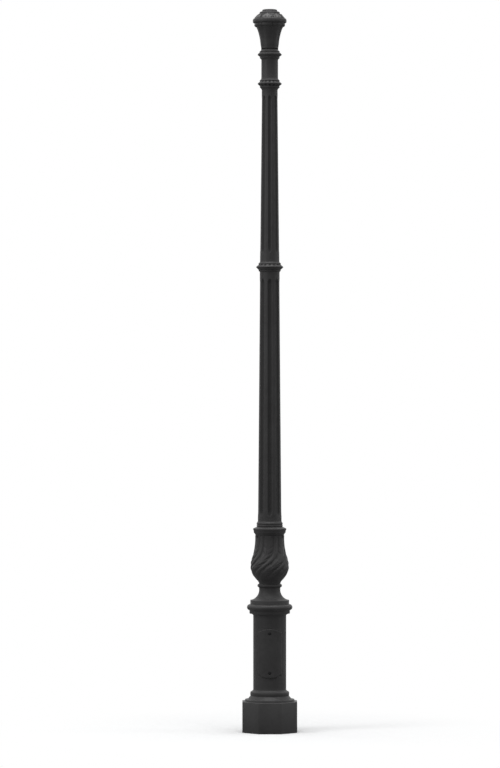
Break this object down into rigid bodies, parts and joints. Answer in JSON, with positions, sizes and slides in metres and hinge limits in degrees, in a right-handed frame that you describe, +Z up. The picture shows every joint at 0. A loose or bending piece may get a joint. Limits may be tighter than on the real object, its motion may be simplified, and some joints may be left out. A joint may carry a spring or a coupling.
{
  "type": "cast iron lamp pole",
  "caption": "Cast iron lamp pole on an octagonal plinth, with a door for the wiring, a leafy vase, a fluted shaft with collars and a flower-like capital that takes a lantern.",
  "frame": {"origin": "centre of the plinth on the ground", "axes": "+Z up the pole, -Y out of the inspection door, +X to the right as the door is faced"},
  "size_m": [0.25, 0.25, 3.3],
  "materials": {
    "pole_iron": "sand cast, painted matt anthracite grey",
    "screw_steel": "blackened steel",
    "terminal_brass": "plain, slightly dulled"
  },
  "bodies": {
    "root": {"base_casting": "pole_iron", "shaft": "pole_iron", "capital": "pole_iron", "inspection_door": "pole_iron", "door_screw_lower": "screw_steel", "door_screw_upper": "screw_steel", "shaft_set_screw_1": "screw_steel", "shaft_set_screw_2": "screw_steel", "shaft_set_screw_3": "screw_steel", "earth_bolt": "terminal_brass"}
  },
  "joints": []
}
